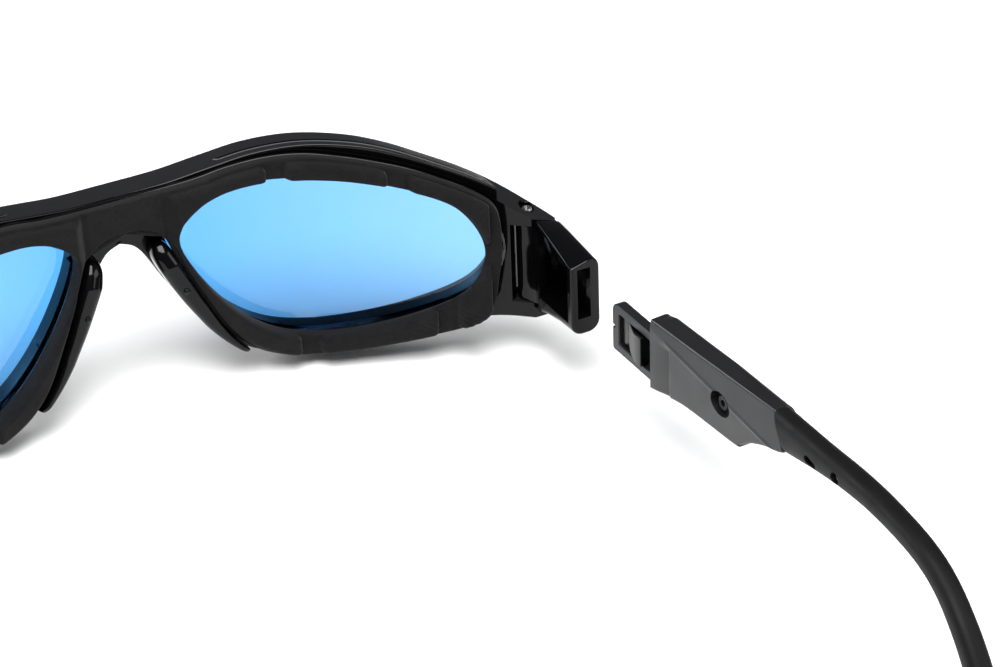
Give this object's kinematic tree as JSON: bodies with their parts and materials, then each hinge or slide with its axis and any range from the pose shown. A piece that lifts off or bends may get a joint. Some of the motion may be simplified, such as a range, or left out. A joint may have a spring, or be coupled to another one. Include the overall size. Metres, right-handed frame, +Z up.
{
  "type": "sports protective goggles",
  "caption": "Wraparound sports protective goggles with tinted lenses, a foam face gasket and side temples that fold on screw hinges, pull off and latch home.",
  "frame": {"origin": "middle of the footprint, at the height of the lowest point of the temple tips", "axes": "+X to the wearer's left, +Y backwards along the temples, +Z up"},
  "size_m": [0.1544, 0.182, 0.0461],
  "materials": {
    "satin_black_nylon": "satin moulded nylon",
    "gloss_black_nylon": "glossy moulded nylon",
    "charcoal_foam": "fine closed-cell foam with a soft matte skin",
    "blue_polycarbonate": "clear blue-tinted polycarbonate",
    "stainless_steel": "turned stainless steel",
    "brass": "plain turned brass",
    "black_rubber": "matte soft-touch rubber"
  },
  "bodies": {
    "front": {"frame_front": "satin_black_nylon", "gasket_carrier": "gloss_black_nylon", "foam_gasket": "charcoal_foam", "lens_right": "blue_polycarbonate", "lens_left": "blue_polycarbonate", "nose_piece_right": "gloss_black_nylon", "nose_piece_left": "gloss_black_nylon", "nose_stud_upper_right": "gloss_black_nylon", "nose_stud_upper_left": "gloss_black_nylon", "nose_stud_lower_right": "gloss_black_nylon", "nose_stud_lower_left": "gloss_black_nylon", "hinge_screw_right": "stainless_steel", "hinge_screw_left": "stainless_steel", "hinge_insert_right": "brass", "hinge_insert_left": "brass"},
    "socket_right": {"temple_socket_right": "gloss_black_nylon"},
    "socket_left": {"temple_socket_left": "gloss_black_nylon"},
    "temple_right": {"temple_arm_right": "satin_black_nylon", "arm_screw_right": "stainless_steel", "temple_core_right": "stainless_steel", "temple_tip_right": "black_rubber", "tip_pin_right": "stainless_steel"},
    "temple_left": {"temple_arm_left": "satin_black_nylon", "arm_screw_left": "stainless_steel", "temple_core_left": "stainless_steel", "temple_tip_left": "black_rubber", "tip_pin_left": "stainless_steel"},
    "latch_right": {"temple_latch_right": "gloss_black_nylon"},
    "latch_left": {"temple_latch_left": "gloss_black_nylon"}
  },
  "joints": [
    {"name": "hinge_right", "type": "hinge", "parent": "front", "child": "socket_right", "pos_m": [-0.0713, -0.05972, 0.0203], "axis": [0, 0, 1], "range_deg": [-70, 0]},
    {"name": "hinge_left", "type": "hinge", "parent": "front", "child": "socket_left", "pos_m": [0.0713, -0.05972, 0.0203], "axis": [0, 0, 1], "range_deg": [0, 70]},
    {"name": "slide_right", "type": "slide", "parent": "socket_right", "child": "temple_right", "axis": [0, 1, 0], "range_m": [-0.0255, 0], "deforming": ["temple_latch_right"]},
    {"name": "slide_left", "type": "slide", "parent": "socket_left", "child": "temple_left", "axis": [0, 1, 0], "range_m": [0, 0.0255], "deforming": ["temple_latch_left"]},
    {"name": "latch_right", "type": "hinge", "parent": "temple_right", "child": "latch_right", "pos_m": [-0.07375, -0.02793, 0.0202], "axis": [0, 0, 1], "range_deg": [0, 5.4], "stiffness_Nm_per_rad": 0.05},
    {"name": "latch_left", "type": "hinge", "parent": "temple_left", "child": "latch_left", "pos_m": [0.07375, -0.05343, 0.0202], "axis": [0, 0, -1], "range_deg": [0, 5.4], "stiffness_Nm_per_rad": 0.05}
  ]
}
